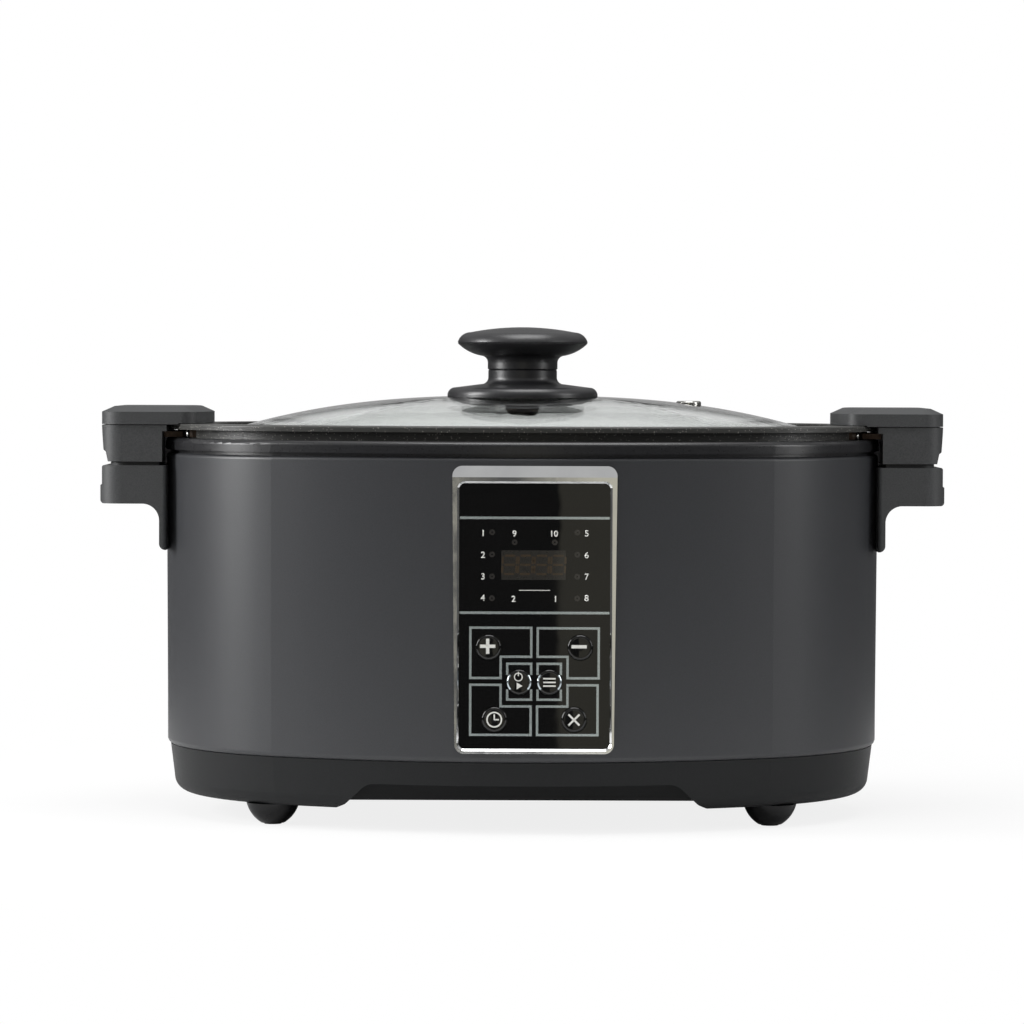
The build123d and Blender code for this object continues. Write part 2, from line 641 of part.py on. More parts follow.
def control_board():
    """Circuit board with a row of small parts on its back."""
    back = BOARD_FRONT - BOARD_T
    plate = front_plate(rounded(BOARD_HALF, BOARD_Z, 1.0), BOARD_FRONT, back)
    for x, z in BOARD_HOLES:
        plate -= bar("Y", (PANEL_X + x, z), -140, -120, 1.1)
    chips = [(0, 165, 10, 7, 1.6), (-18, 120, 5, 5, 2.4), (16, 118, 6, 9, 2.0), (0, 90, 14, 4, 3.0)]
    for x, z, half_x, half_z, high in chips:
        plate += box((PANEL_X + x - half_x, PANEL_X + x + half_x), (-back, -back + high),
                     (z - half_z, z + half_z))
    return plate


def display_module():
    """Four-digit display block between the board and the fascia."""
    half = DISPLAY_HALF
    return box((PANEL_X - half, PANEL_X + half), (-FASCIA_BACK, -BOARD_FRONT), DISPLAY_Z)


def indicator_lights():
    """Small round lamps between the board and the fascia."""
    return group([bar("Y", (PANEL_X + x, z), -FASCIA_BACK, -BOARD_FRONT, LIGHT_R) for x, z in LIGHTS])


def key_switches():
    """Square push switches on the board, one behind each key."""
    switches = []
    for x, z in KEYS.values():
        at = PANEL_X + x
        body = box((at - 3, at + 3), (-SWITCH_TOP + 0.6, -BOARD_FRONT), (z - 3, z + 3))
        switches.append(body + bar("Y", (at, z), -SWITCH_TOP, -BOARD_FRONT, 1.7))
    return group(switches)


def board_screws():
    """Screws that hold the board to the carrier."""
    screws = []
    back = BOARD_FRONT - BOARD_T
    for x, z in BOARD_HOLES:
        head = bar("Y", (PANEL_X + x, z), -back, -back + 1.4, 2.2)
        screws.append(head + bar("Y", (PANEL_X + x, z), -135.0, -back, 1.1))
    return group(screws)


def key(x, z):
    """Key with a slightly domed face and a retaining flange behind the carrier."""
    front = FASCIA_FRONT + 0.9
    flange_front = CARRIER_BACK - 0.1
    flange_back = SWITCH_TOP + KEY_TRAVEL + 0.1
    shape = turned([
        Line((0, flange_back), (KEY_FLANGE_R, flange_back)),
        Line((KEY_FLANGE_R, flange_back), (KEY_FLANGE_R, flange_front)),
        Line((KEY_FLANGE_R, flange_front), (KEY_R, flange_front)),
        Line((KEY_R, flange_front), (KEY_R, front - 0.9)),
        ThreePointArc((KEY_R, front - 0.9), (KEY_R - 0.42, front - 0.3), (KEY_R - 1.5, front - 0.05)),
        crown(KEY_R - 1.5, front - 0.05, front),
        Line((0, front), (0, flange_back)),
    ])
    return Pos(PANEL_X + x, 0, z) * Rot(90, 0, 0) * shape


# ---------------------------------------------------------------- heating
def inner_well():
    """Drafted liner with a flange that lies on the shell's head."""
    top = SHELL_TOP
    foot_in = 20.0
    well = oval_block(POT, WELL_FLOOR, top, WELL_T - foot_in, 1.8 + WELL_T)
    well -= oval_block(POT, WELL_FLOOR + WELL_T, top + 1, -foot_in, 1.95)
    lip = oval_block(HOUSING, top, top + WELL_T, -3.2) - oval_block(POT, top - 1, top + 2, 2.0)
    well += lip
    well -= post(0, 0, 40, 50, SENSOR_CAP_R + 1)
    well -= box((-26, 26), (44, 64), (40, 50))
    for x, y in POSTS + SPACERS:
        well -= post(x, y, 40, 50, 1.5)
    return well


def element_path(z):
    """Heater loop under the hot plate."""
    return oval(HOT_PLATE, -17.0, z).wires()[0]


def heating_element():
    """Sheathed element bent to an open loop, with two cold ends pointing down."""
    z = PLATE_LOW - 0.6
    start = Plane(origin=(0, -(HOT_PLATE[1] - 17.0), z), x_dir=(0, 1, 0), z_dir=(1, 0, 0))
    tube = sweep(start * Circle(3.2), path=element_path(z))
    tube -= box((-12, 12), (30, 80), (z - 10, z + 10))
    for x in (-14.5, 14.5):
        y = HOT_PLATE[1] - 17.0
        tube += post(x, y - 0.3, 34, z, 3.2)
        tube += post(x, y - 0.3, 28, 35, 1.2)
    return tube


def heating_plate():
    """Cast aluminium hot plate with a groove for the element and a hole for the sensor."""
    plate = oval_block(HOT_PLATE, PLATE_LOW, PLATE_TOP)
    plate = fillet(edges_at(plate, PLATE_TOP), 1.0)
    plate -= post(0, 0, 40, 70, SENSOR_CAP_R + 1)
    return plate - heating_element()


def heat_shield():
    """Bright pan under the well, held on the posts."""
    pan = oval_block(SHIELD, 41.0, 45.0) - oval_block(SHIELD, 41.6, 46.0, -0.6)
    pan -= box((-26, 26), (44, 64), (38, 50))
    pan -= post(0, 0, 38, 50, SENSOR_CAP_R + 1)
    for x, y in POSTS:
        pan -= post(x, y, 38, 50, 2.5)
    return pan


def support_post(x, y):
    """Post from the plinth's floor to the well."""
    return post(x, y, FLOOR_Z + PLINTH_T, WELL_FLOOR, 2.5)


def plate_spacer(x, y):
    """Collar between the well's floor and the hot plate."""
    return post(x, y, WELL_FLOOR + WELL_T, PLATE_LOW, 4.0)


def sensor_housing():
    """Cup that guides the sensor's stem and seats its spring."""
    cup = post(0, 0, 43.0, 50.0, 11.0) - post(0, 0, 45.0, 51.0, 9.5)
    cup += post(0, 0, 45.2, 46.0, 18.0) - post(0, 0, 45.0, 51.0, 9.5)
    return cup - post(0, 0, 40, 50, SENSOR_STEM_R + GAP)


def sensor_spring():
    """Coil spring round the stem, from the cup's floor to the underside of the sensor's cap."""
    wire, mean_r, low, high = 0.45, 7.3, 45.0, 54.0
    height = high - low - 2 * wire
    coil = Helix(pitch=height / 4, height=height, radius=mean_r, center=(0, 0, low + wire))
    return sweep(Plane(coil @ 0, z_dir=coil % 0) * Circle(wire), path=coil)


def sensor_plunger():
    """Flat cap that touches the pot, on a stem."""
    cap = post(0, 0, 54.0, SENSOR_TOP, SENSOR_CAP_R)
    cap = fillet(edges_at(cap, SENSOR_TOP), 0.8)
    return cap + post(0, 0, 38.0, 54.0, SENSOR_STEM_R)


def thermal_fuse():
    """Axial safety fuse against the underside of the hot plate."""
    return bar("X", (0, PLATE_LOW - 2.0), 40, 62, 2.0)


def fuse_clip():
    """Spring clip that presses the fuse to the plate."""
    clip = box((46, 56), (-6, 6), (PLATE_LOW - 4.1, PLATE_LOW))
    return clip - bar("X", (0, PLATE_LOW - 2.0), 40, 62, 2.0) - box((40, 62), (-4, 4), (48.9, 51.1))


# ---------------------------------------------------------------- power
def power_board():
    """Board on pillars in the plinth, with a terminal strip and capacitors."""
    top = POWER_Z + BOARD_T
    plate = box(POWER_X, POWER_Y, (POWER_Z, top))
    for x, y in PILLARS:
        plate -= post(x, y, POWER_Z - 1, top + 1, 1.4)
    plate += box((-60, -36), (80, 89), (top, top + 9))
    plate += post(-34, 50, top, top + 11, 4) + post(-34, 62, top, top + 11, 5)
    return plate


def power_relay():
    """Relay that switches the heater."""
    return box((-82, -66), (52, 74), (POWER_Z + BOARD_T, POWER_Z + BOARD_T + 13))


def power_transformer():
    """Small transformer: laminated core round a wound bobbin."""
    low = POWER_Z + BOARD_T
    core = box((-62, -42), (46, 74), (low, low + 13))
    winding = box((-64, -40), (51, 69), (low + 1, low + 11))
    return core + winding


def board_pillar(x, y):
    """Pillar with a peg through the board."""
    foot = post(x, y, FLOOR_Z + PLINTH_T, POWER_Z, 3.2) - arch_recess(1, PLINTH_T)
    return foot + post(x, y, POWER_Z, POWER_Z + 3, 1.4)


def mains_inlet():
    """Three-pin inlet: flange outside the shell, and a recess between the pins and the wall."""
    half_x, half_z = INLET_HALF
    flange = box((-half_x - 3, half_x + 3), (120, INLET_BACK), (INLET_Z - half_z - 3, INLET_Z + half_z + 3))
    flange = fillet(flange.edges().filter_by(Axis.Y), 3.0) - shell_outside()
    body = box((-half_x, half_x), (INLET_BACK - INLET_DEPTH, INLET_BACK),
               (INLET_Z - half_z, INLET_Z + half_z))
    recess = box((-12.0, 12.0), (INLET_BACK - 16.0, INLET_BACK + 1), (INLET_Z - 8.2, INLET_Z + 8.2))
    recess = chamfer(recess.edges().filter_by(Axis.Y).group_by(Axis.Z)[-1], 3.6)
    shape = flange + body - recess
    for x, z in PIN_AT:
        shape -= box((x - 1.0, x + 1.0), (INLET_BACK - 30, INLET_BACK - 10), (z - 2.0, z + 2.0))
    return shape


def inlet_pins():
    """Three flat blades that run through the back of the inlet to solder tags."""
    pins = [box((x - 1.0, x + 1.0), (INLET_BACK - 22, INLET_BACK - 2), (z - 2.0, z + 2.0))
            for x, z in PIN_AT]
    return group(pins)


def wire(points, radius, bend):
    """Insulated lead along straight runs with rounded turns."""
    path = FilletPolyline(*points, radius=bend)
    return sweep(Plane(path @ 0, z_dir=path % 0) * Circle(radius), path=path)


def mains_wires():
    """Two leads from the inlet's tags down to the power board's terminals."""
    tag_y, drop_y = INLET_BACK - 22, 112.6
    level = POWER_Z + BOARD_T + 4.5
    leads = []
    for (x, z), end_x, low in zip(PIN_AT[:2], (-53.0, -44.0), (41.0, 34.0)):
        route = [(x, tag_y, z), (x, drop_y, z), (x, drop_y, low), (end_x, 102, level), (end_x, 89, level)]
        leads.append(wire(route, 1.1, 2.4))
    return group(leads)


# ---------------------------------------------------------------- nodes
NODES = {
    "outer_shell": outer_shell(),
    "top_trim_ring": top_trim_ring(),
    "base_plinth": base_plinth(),
    "inner_well": inner_well(),
    "heating_element": heating_element(),
    "heating_plate": heating_plate(),
    "plate_spacers": group([plate_spacer(x, y) for x, y in SPACERS]),
    "heat_shield": heat_shield(),
    "support_posts": group([support_post(x, y) for x, y in POSTS]),
    "thermal_fuse": thermal_fuse(),
    "fuse_clip": fuse_clip(),
    "sensor_housing": sensor_housing(),
    "sensor_spring": sensor_spring(),
    "sensor_plunger": sensor_plunger(),
    "foot_pads": group([post(x, y, 0, PAD_T, PAD_R) for x, y in FEET]),
    "underside_screws": group(
        [screw(x, y, PAD_T + 0.2, 3.2, 2.4, FLOOR_Z + 7) for x, y in FEET]
        + [screw(x, y, FLOOR_Z + 0.4, 2.8, 2.4, SEAM_Z + 3) for x, y in BASE_SCREWS]),
    "side_handle_screws": group([
        side_screw(side, *place) for side in (-1, 1) for place in SIDE_SCREWS]),
    "pot_handle_screws": group([
        pot_handle_screw(x, y) for x in (-205, 205) for y in (-20, 20)]),
    "panel_bezel": panel_bezel(),
    "panel_fascia": panel_fascia(),
    "panel_carrier": panel_carrier(),
    "control_board": control_board(),
    "display_module": display_module(),
    "indicator_lights": indicator_lights(),
    "key_switches": key_switches(),
    "board_screws": board_screws(),
    "power_board": power_board(),
    "power_relay": power_relay(),
    "power_transformer": power_transformer(),
    "board_pillars": group([board_pillar(x, y) for x, y in PILLARS]),
    "mains_inlet": mains_inlet(),
    "inlet_pins": inlet_pins(),
    "mains_wires": mains_wires(),
    "cooking_pot": cooking_pot(),
    "pot_brackets": group([pot_bracket_left(), other_side(pot_bracket_left())]),
    "pot_rivets": group([pot_rivet(side, y) for side in (-1, 1) for y in RIVET_Y]),
    "lid_glass": lid_glass(),
    "lid_rim_band": lid_rim_band(),
    "steam_vent": steam_vent(),
    "knob_base": knob_base(),
    "knob_grip": knob_grip(),
    "knob_cap": knob_cap(),
    "knob_washer": knob_washer(),
    "knob_screw": knob_screw(),
}
CORNERS = {"front_left": (-1, -1), "front_right": (1, -1), "rear_left": (-1, 1), "rear_right": (1, 1)}
for place, (x, y) in CORNERS.items():
    NODES[f"foot_{place}"] = foot(x * FOOT_X, y * FOOT_Y)
for name, at in KEYS.items():
    NODES[name] = key(*at)
for name, make in (("side_handle", side_handle_left), ("pot_handle", pot_handle_left),
                   ("pot_handle_cap", pot_handle_cap_left)):
    NODES[f"{name}_left"] = make()
    NODES[f"{name}_right"] = other_side(NODES[f"{name}_left"])

os.makedirs("parts", exist_ok=True)
for name, shape in NODES.items():
    export_step(shape, f"parts/{name}.step")
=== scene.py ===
import math

import bpy
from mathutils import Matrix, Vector


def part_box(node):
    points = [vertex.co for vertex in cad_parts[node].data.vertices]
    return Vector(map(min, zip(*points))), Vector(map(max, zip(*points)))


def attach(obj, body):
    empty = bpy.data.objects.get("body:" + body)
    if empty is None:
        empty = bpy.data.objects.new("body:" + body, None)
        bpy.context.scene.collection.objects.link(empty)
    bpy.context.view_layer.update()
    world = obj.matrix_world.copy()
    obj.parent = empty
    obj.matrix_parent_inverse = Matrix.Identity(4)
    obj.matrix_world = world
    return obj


# Slow cooker: finishes for every moulding and pressing, and the printed front of its panel.
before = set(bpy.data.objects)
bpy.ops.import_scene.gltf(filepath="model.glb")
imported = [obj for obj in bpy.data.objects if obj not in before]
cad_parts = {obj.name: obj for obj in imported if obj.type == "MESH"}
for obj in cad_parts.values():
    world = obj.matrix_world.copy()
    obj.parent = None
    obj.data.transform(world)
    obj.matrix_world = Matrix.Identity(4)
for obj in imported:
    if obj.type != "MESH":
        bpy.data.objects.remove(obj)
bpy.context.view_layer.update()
scene = bpy.context.scene
MM = 0.001
WAVE_RADIANS = 20                                 # radians of a wave pattern in one unit of its scale


# ---------------------------------------------------------------- studio
def softbox(name, place, aim, width, height, watts):
    """Flat rectangular lamp turned towards a point."""
    bpy.ops.object.light_add(type="AREA", location=place)
    lamp = bpy.context.object
    lamp.name = name
    lamp.data.shape = "RECTANGLE"
    lamp.data.size = width
    lamp.data.size_y = height
    lamp.data.energy = watts
    towards = Vector(aim) - Vector(place)
    lamp.rotation_euler = towards.to_track_quat("-Z", "Y").to_euler()


CAMERA_PLACE = (-5.8 * MM, -2400 * MM, 242 * MM)
CAMERA_DOWN, CAMERA_ROLL = 1.895, -0.2            # degrees below level, and about its own axis

bpy.ops.object.select_all(action="DESELECT")
bpy.ops.object.camera_add(location=CAMERA_PLACE,
                          rotation=(math.radians(90 - CAMERA_DOWN), math.radians(CAMERA_ROLL), 0))
scene.camera = bpy.context.object
scene.camera.data.lens = 154.8
scene.camera.data.sensor_width = 36.0
scene.view_settings.view_transform = "Standard"

softbox("left_softbox", (-1.75, -0.30, 0.75), (0, 0, 0.12), 0.6, 1.1, 34)
softbox("right_softbox", (1.9, -0.65, 0.7), (0, 0, 0.12), 0.4, 1.0, 9)
softbox("top_softbox", (0.1, -0.3, 1.9), (0, 0, 0.1), 1.3, 1.1, 24)


# ---------------------------------------------------------------- finishes: small helpers
def linear(code):
    """Colour of the shader for an sRGB hex value."""
    channels = [int(code[i:i + 2], 16) / 255 for i in (1, 3, 5)]
    return tuple(c / 12.92 if c <= 0.04045 else ((c + 0.055) / 1.055) ** 2.4 for c in channels) + (1.0,)


def per_mm(size):
    """Pattern scale for features of so many millimetres."""
    return 1000.0 / size


def per_wave(size):
    """Scale of a wave pattern with one radian to so many millimetres: its lines lie 6.3 times that apart."""
    return per_mm(size) / WAVE_RADIANS


def add(tree, kind, inputs=None, **settings):
    """Adds one node. A socket among its inputs is linked, and anything else is set as a value."""
    part = tree.nodes.new(kind)
    for name, value in settings.items():
        setattr(part, name, value)
    for name, value in (inputs or {}).items():
        if isinstance(value, bpy.types.NodeSocket):
            tree.links.new(value, part.inputs[name])
        else:
            part.inputs[name].default_value = value
    return part


def finish(name, **values):
    """New finish with its plain values on the shader's own sockets."""
    material = bpy.data.materials.new(name)
    material.use_nodes = True
    shader = material.node_tree.nodes["Principled BSDF"]
    for socket, value in values.items():
        shader.inputs[socket.replace("_", " ")].default_value = value
    return material, material.node_tree, shader


def grain(tree, shader, size, depth, smooth, rough):
    """Bumps of one size and depth in millimetres, with a roughness that follows them."""
    place = add(tree, "ShaderNodeTexCoord").outputs["Object"]
    noise = add(tree, "ShaderNodeTexNoise", {"Vector": place, "Scale": per_mm(size), "Detail": 3.0})
    bump = add(tree, "ShaderNodeBump", {"Height": noise.outputs["Fac"], "Distance": depth * MM})
    sheen = add(tree, "ShaderNodeMapRange", {"Value": noise.outputs["Fac"], "From Min": 0.3,
                                             "From Max": 0.7, "To Min": smooth, "To Max": rough})
    tree.links.new(bump.outputs["Normal"], shader.inputs["Normal"])
    tree.links.new(sheen.outputs["Result"], shader.inputs["Roughness"])
    return noise.outputs["Fac"]


def tones(tree, shader, factor, low, high):
    """Colour that drifts between two values with a pattern."""
    ramp = add(tree, "ShaderNodeValToRGB", {"Fac": factor})
    ramp.color_ramp.elements[0].position = 0.3
    ramp.color_ramp.elements[0].color = linear(low)
    ramp.color_ramp.elements[1].position = 0.7
    ramp.color_ramp.elements[1].color = linear(high)
    tree.links.new(ramp.outputs["Color"], shader.inputs["Base Color"])


# ---------------------------------------------------------------- finishes: painted and moulded
def sprayed_charcoal_enamel():
    """Enamel sprayed on drawn steel: a satin skin that spreads highlights, with a dust-fine grain."""
    material, tree, shader = finish("sprayed_charcoal_enamel", IOR=1.5)
    fine = grain(tree, shader, 0.45, 0.010, 0.36, 0.44)
    tones(tree, shader, fine, "#2f3032", "#37383b")
    return material


def spark_textured_phenolic():
    """Phenolic from a spark-eroded mould: dry, even and grey, with a sandy grain."""
    material, tree, shader = finish("spark_textured_phenolic", IOR=1.55)
    sand = grain(tree, shader, 0.7, 0.035, 0.46, 0.60)
    tones(tree, shader, sand, "#303132", "#404142")
    return material


def spark_textured_polypropylene():
    """Polypropylene plinth: a darker grey than the handles, with a finer grain and hardly any shine."""
    material, tree, shader = finish("spark_textured_polypropylene", IOR=1.49, Specular_IOR_Level=0.22)
    sand = grain(tree, shader, 0.55, 0.018, 0.42, 0.54)
    tones(tree, shader, sand, "#18191a", "#1f2021")
    return material


def satin_phenolic():
    """Compression-moulded phenolic knob: nearly black, with a grain that breaks up its highlights."""
    material, tree, shader = finish("satin_phenolic", IOR=1.6)
    sand = grain(tree, shader, 0.6, 0.022, 0.30, 0.42)
    tones(tree, shader, sand, "#1c1c1e", "#252527")
    return material


def satin_black_abs():
    """ABS trim from a satin mould: black, with a soft sheen along its rounded edge."""
    material, tree, shader = finish("satin_black_abs", IOR=1.54)
    skin = grain(tree, shader, 0.9, 0.002, 0.27, 0.34)
    tones(tree, shader, skin, "#18181a", "#202022")
    return material


def smooth_black_nylon():
    """Nylon feet: smooth and half gloss, scuffed a little duller in patches."""
    material, tree, shader = finish("smooth_black_nylon", IOR=1.53, Specular_IOR_Level=0.35)
    scuff = grain(tree, shader, 3.0, 0.02, 0.16, 0.28)
    tones(tree, shader, scuff, "#08080a", "#0e0e10")
    return material


def moulded_inlet_nylon():
    """Glass-filled nylon: matt black, with short pale fibres near the surface."""
    material, tree, shader = finish("moulded_inlet_nylon", IOR=1.53)
    fibre = grain(tree, shader, 0.8, 0.02, 0.40, 0.55)
    tones(tree, shader, fibre, "#141415", "#1d1d1f")
    return material


def black_rubber():
    """Rubber pads: matt, with a dusty grey bloom."""
    material, tree, shader = finish("black_rubber", IOR=1.52)
    bloom = grain(tree, shader, 1.5, 0.03, 0.70, 0.85)
    tones(tree, shader, bloom, "#121212", "#1c1c1b")
    return material


def silicone_washer():
    """Silicone washer: smooth, soft and dark."""
    material, tree, shader = finish("silicone_washer", IOR=1.43)
    skin = grain(tree, shader, 2.0, 0.01, 0.45, 0.55)
    tones(tree, shader, skin, "#1b1b1c", "#232324")
    return material


def brown_pvc():
    """PVC insulation: smooth brown with a waxy gloss."""
    material, tree, shader = finish("brown_pvc", IOR=1.53)
    wax = grain(tree, shader, 2.5, 0.01, 0.38, 0.50)
    tones(tree, shader, wax, "#43291a", "#543522")
    return material


def blue_relay_case():
    """Injection-moulded polyester case: clear blue, smooth."""
    material, tree, shader = finish("blue_polyester", IOR=1.57)
    flow = grain(tree, shader, 4.0, 0.01, 0.25, 0.35)
    tones(tree, shader, flow, "#1d4c92", "#235aa6")
    return material


def black_epoxy():
    """Cast epoxy body of display and switches: black, slightly uneven."""
    material, tree, shader = finish("black_epoxy", IOR=1.56)
    flow = grain(tree, shader, 1.2, 0.01, 0.28, 0.40)
    tones(tree, shader, flow, "#0d0d0d", "#161616")
    return material


def solder_mask_board():
    """Glass-fibre board under green lacquer, with the weave of the cloth just showing."""
    material, tree, shader = finish("solder_mask_board", IOR=1.55)
    place = add(tree, "ShaderNodeTexCoord").outputs["Object"]
    weave = add(tree, "ShaderNodeTexWave", {"Vector": place, "Scale": per_wave(1.0),
                                            "Distortion": 1.0})
    tones(tree, shader, weave.outputs["Fac"], "#17502f", "#1f6439")
    bump = add(tree, "ShaderNodeBump", {"Height": weave.outputs["Fac"], "Distance": 0.01 * MM})
    tree.links.new(bump.outputs["Normal"], shader.inputs["Normal"])
    shader.inputs["Roughness"].default_value = 0.3
    return material


def glazed_ceramic():
    """Glazed sleeve of the fuse: off-white and glossy, with a faint orange-peel surface."""
    material, tree, shader = finish("glazed_ceramic", IOR=1.5)
    peel = grain(tree, shader, 1.5, 0.01, 0.12, 0.20)
    tones(tree, shader, peel, "#d6d0c2", "#e0dbcf")
    return material


# ---------------------------------------------------------------- finishes: panel
def back_printed_acrylic():
    """Acrylic front printed black from behind: mirror-smooth, so that reflections keep their edges."""
    material, tree, shader = finish("back_printed_acrylic", IOR=1.49)
    wave = grain(tree, shader, 40.0, 0.012, 0.0, 0.02)
    tones(tree, shader, wave, "#050505", "#080808")
    return material


def silver_ink():
    """Silver ink on the acrylic: half mirror, half grey flake, so it takes the tone of what it faces."""
    material, tree, shader = finish("silver_ink", IOR=1.49, Metallic=0.8)
    flakes = grain(tree, shader, 0.3, 0.001, 0.07, 0.12)
    tones(tree, shader, flakes, "#b4c0c6", "#c6cfd4")
    return material


def white_ink():
    """Opaque white ink under the acrylic: flat colour beneath the same gloss."""
    material, tree, shader = finish("white_ink", IOR=1.49, Coat_Weight=1.0, Coat_Roughness=0.03)
    lay = grain(tree, shader, 0.5, 0.003, 0.40, 0.50)
    tones(tree, shader, lay, "#dcdcd6", "#e6e6e0")
    return material


def smoked_window():
    """Smoked window over the display: a brown-black that lets a little of the digits through."""
    material, tree, shader = finish("smoked_window", IOR=1.49, Coat_Weight=1.0, Coat_Roughness=0.03)
    haze = grain(tree, shader, 1.0, 0.002, 0.25, 0.35)
    tones(tree, shader, haze, "#0d0b07", "#110e09")
    return material


def unlit_amber():
    """Unlit amber segments seen through the smoked window: dull orange-brown."""
    material, tree, shader = finish("unlit_amber", IOR=1.49, Coat_Weight=1.0, Coat_Roughness=0.03)
    resin = grain(tree, shader, 0.8, 0.002, 0.30, 0.40)
    tones(tree, shader, resin, "#2c1e07", "#36260b")
    return material


def tinted_lens():
    """Unlit lamp lens behind dark film: barely warmer than the front around it."""
    material, tree, shader = finish("tinted_lens", IOR=1.49, Coat_Weight=1.0, Coat_Roughness=0.04)
    resin = grain(tree, shader, 0.8, 0.002, 0.30, 0.40)
    tones(tree, shader, resin, "#110e0c", "#16120f")
    return material


# ---------------------------------------------------------------- finishes: glass and metal
def toughened_glass():
    """Pressed soda-lime glass: clear, with the faintest green cast."""
    material, tree, shader = finish("toughened_glass", IOR=1.52, Transmission_Weight=1.0)
    press = grain(tree, shader, 45.0, 0.006, 0.0, 0.004)
    tones(tree, shader, press, "#f1f4f2", "#f5f7f6")
    return material


def bright_chrome():
    """Chrome plate on ABS: a near mirror, with reflections that bend over its moulded surface."""
    material, tree, shader = finish("bright_chrome", Metallic=1.0)
    wave = grain(tree, shader, 18.0, 0.02, 0.03, 0.07)
    tones(tree, shader, wave, "#d5d6d7", "#dfe0e0")
    return material


def speckled_nonstick():
    """Sprayed non-stick on cast aluminium: charcoal with pale mineral specks and a pebbly gloss."""
    material, tree, shader = finish("speckled_nonstick", IOR=1.5)
    grain(tree, shader, 1.1, 0.14, 0.30, 0.46)
    place = add(tree, "ShaderNodeTexCoord").outputs["Object"]
    specks = add(tree, "ShaderNodeTexVoronoi", {"Vector": place, "Scale": per_mm(1.6)})
    near = add(tree, "ShaderNodeMapRange", {"Value": specks.outputs["Distance"], "From Min": 0.12,
                                            "From Max": 0.24, "To Min": 1.0, "To Max": 0.0})
    tones(tree, shader, near.outputs["Result"], "#3a3a38", "#8f8c86")
    return material


def brushed_stainless():
    """Rolled stainless band and eyelet: bright, with fine lines that soften its reflections."""
    material, tree, shader = finish("brushed_stainless", Metallic=1.0)
    lines = grain(tree, shader, 0.4, 0.004, 0.16, 0.30)
    tones(tree, shader, lines, "#b2b1ad", "#c6c5c1")
    return material


def zinc_plated_steel():
    """Zinc-plated screws: bright grey with a slight yellow passivation."""
    material, tree, shader = finish("zinc_plated_steel", Metallic=1.0)
    plate = grain(tree, shader, 1.2, 0.006, 0.22, 0.36)
    tones(tree, shader, plate, "#aaa795", "#bfbdb0")
    return material


def heat_tinted_steel():
    """Steel strap blackened in the oven: dark brown with a dull metal sheen."""
    material, tree, shader = finish("heat_tinted_steel", Metallic=0.8)
    scale = grain(tree, shader, 2.2, 0.01, 0.34, 0.50)
    tones(tree, shader, scale, "#3a302a", "#55463b")
    return material


def polished_aluminium():
    """Rivets set in soft aluminium: bright and smooth."""
    material, tree, shader = finish("polished_aluminium", Metallic=1.0)
    spun = grain(tree, shader, 0.8, 0.004, 0.12, 0.20)
    tones(tree, shader, spun, "#d2d2cf", "#dededb")
    return material


def machined_aluminium():
    """Cast hot plate faced on a lathe: rings of tool marks round its middle."""
    material, tree, shader = finish("machined_aluminium", Metallic=1.0)
    place = add(tree, "ShaderNodeTexCoord").outputs["Object"]
    rings = add(tree, "ShaderNodeTexWave", {"Vector": place, "Scale": per_wave(1.5),
                                            "Distortion": 0.4}, wave_type="RINGS", rings_direction="Z")
    bump = add(tree, "ShaderNodeBump", {"Height": rings.outputs["Fac"], "Distance": 0.02 * MM})
    tree.links.new(bump.outputs["Normal"], shader.inputs["Normal"])
    tones(tree, shader, rings.outputs["Fac"], "#a9a9a6", "#bdbdba")
    shader.inputs["Roughness"].default_value = 0.32
    return material


def aluminised_sheet():
    """Aluminised steel sheet: a soft grey metal with a faint crystal spangle."""
    material, tree, shader = finish("aluminised_sheet", Metallic=1.0)
    place = add(tree, "ShaderNodeTexCoord").outputs["Object"]
    spangle = add(tree, "ShaderNodeTexVoronoi", {"Vector": place, "Scale": per_mm(7.0)})
    tones(tree, shader, spangle.outputs["Distance"], "#9d9e9c", "#b4b5b3")
    sheen = add(tree, "ShaderNodeMapRange", {"Value": spangle.outputs["Distance"], "To Min": 0.30,
                                             "To Max": 0.42})
    tree.links.new(sheen.outputs["Result"], shader.inputs["Roughness"])
    return material


def spring_steel():
    """Drawn spring wire: dark bright steel."""
    material, tree, shader = finish("spring_steel", Metallic=1.0)
    drawn = grain(tree, shader, 0.5, 0.003, 0.25, 0.35)
    tones(tree, shader, drawn, "#85847f", "#96958f")
    return material


def sheathed_element():
    """Oxidised steel sheath of the heater: olive grey, matt."""
    material, tree, shader = finish("sheathed_element", Metallic=0.9)
    oxide = grain(tree, shader, 1.6, 0.01, 0.42, 0.58)
    tones(tree, shader, oxide, "#55534a", "#6b685c")
    return material


def laminated_core():
    """Stacked transformer plates: thin dark lines between bright edges."""
    material, tree, shader = finish("laminated_core", Metallic=0.9)
    place = add(tree, "ShaderNodeTexCoord").outputs["Object"]
    plates = add(tree, "ShaderNodeTexWave", {"Vector": place, "Scale": per_wave(1.0)},
                 bands_direction="Z")
    tones(tree, shader, plates.outputs["Fac"], "#3a3936", "#7d7b74")
    shader.inputs["Roughness"].default_value = 0.45
    return material


def rolled_brass():
    """Inlet pins cut from rolled brass: warm yellow, smooth."""
    material, tree, shader = finish("rolled_brass", Metallic=1.0)
    rolled = grain(tree, shader, 0.6, 0.003, 0.20, 0.30)
    tones(tree, shader, rolled, "#b8923f", "#c9a454")
    return material


enamel = sprayed_charcoal_enamel()
handle_grain = spark_textured_phenolic()
plinth_grain = spark_textured_polypropylene()
knob_satin = satin_phenolic()
trim_satin = satin_black_abs()
foot_nylon = smooth_black_nylon()
acrylic = back_printed_acrylic()
epoxy = black_epoxy()
board_green = solder_mask_board()
zinc = zinc_plated_steel()
sheet = aluminised_sheet()
stainless = brushed_stainless()
silver = silver_ink()
white = white_ink()

